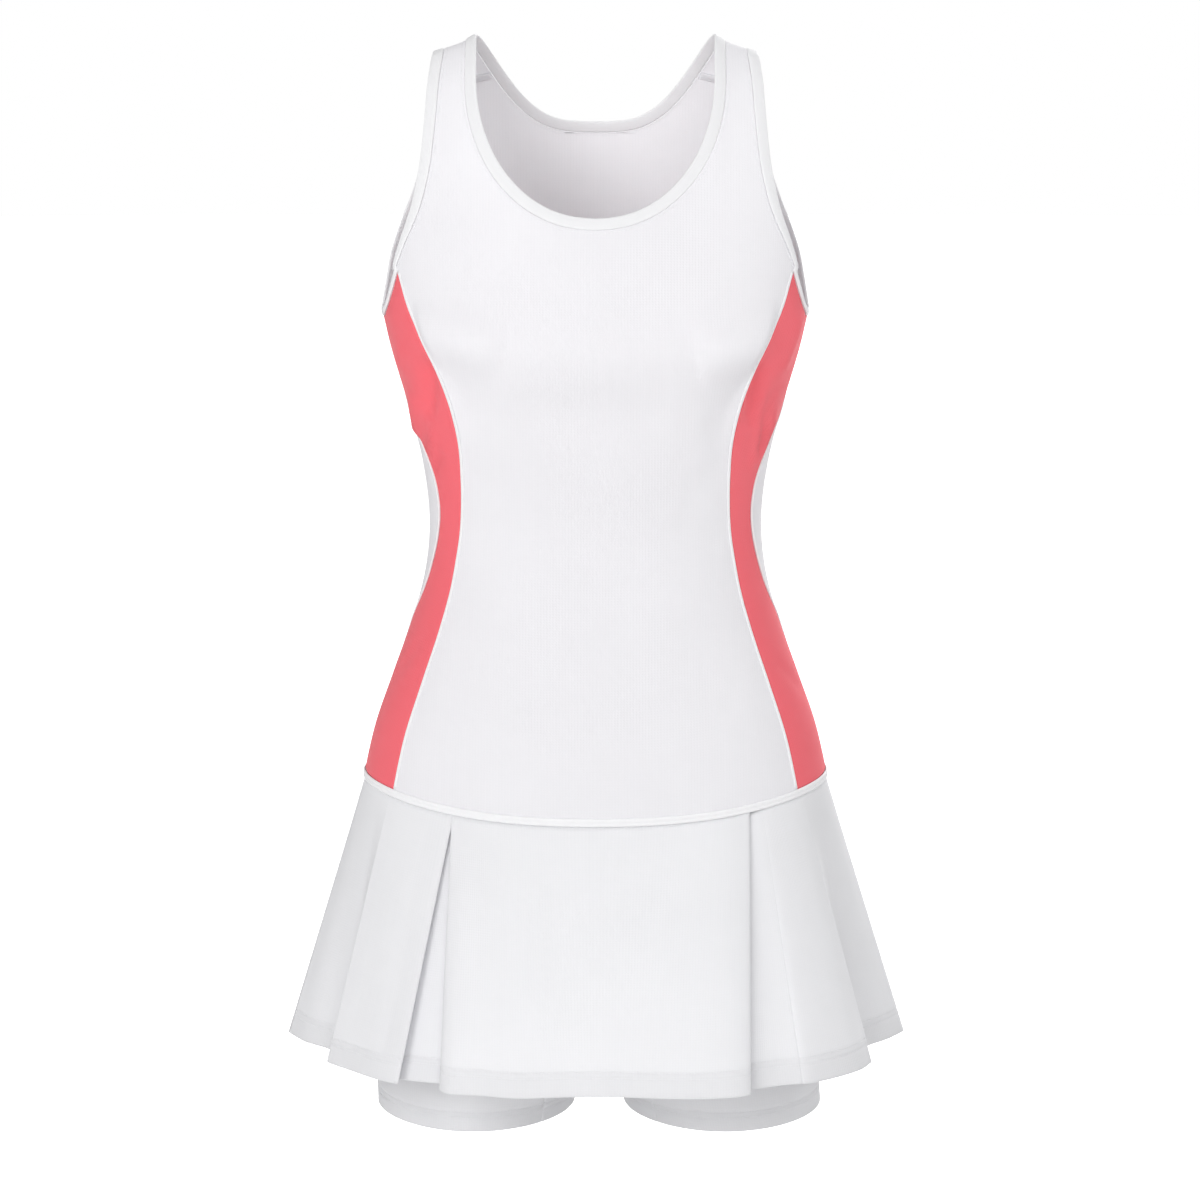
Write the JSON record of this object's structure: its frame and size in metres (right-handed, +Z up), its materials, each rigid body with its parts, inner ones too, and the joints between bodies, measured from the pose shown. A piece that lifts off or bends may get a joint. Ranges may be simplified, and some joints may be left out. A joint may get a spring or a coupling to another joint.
{
  "type": "tennis dress",
  "caption": "Sleeveless fitted tennis dress with curved side panels, a hip seam, a short pleated skirt and inner shorts, hollow as worn.",
  "frame": {"origin": "on the shoulder line, midway between the two shoulders at the neck edge", "axes": "+Z up, the front faces -Y, +X towards the right of the picture"},
  "size_m": [0.5047, 0.3872, 0.8624],
  "materials": {
    "white_knit": "smooth white stretch knit, matt with a faint sheen",
    "white_weave": "fine white skirt cloth, matt",
    "white_binding": "folded white knit binding",
    "coral_knit": "coral stretch knit, matt with a faint sheen"
  },
  "bodies": {
    "root": {"bodice_front": "white_knit", "bodice_back": "white_knit", "side_panel_left": "coral_knit", "side_panel_right": "coral_knit", "neck_binding": "white_binding", "armhole_binding_left": "white_binding", "armhole_binding_right": "white_binding", "hip_band": "white_binding", "skirt_front": "white_weave", "skirt_back": "white_weave", "shorts_left": "white_weave", "shorts_right": "white_weave"}
  },
  "joints": []
}
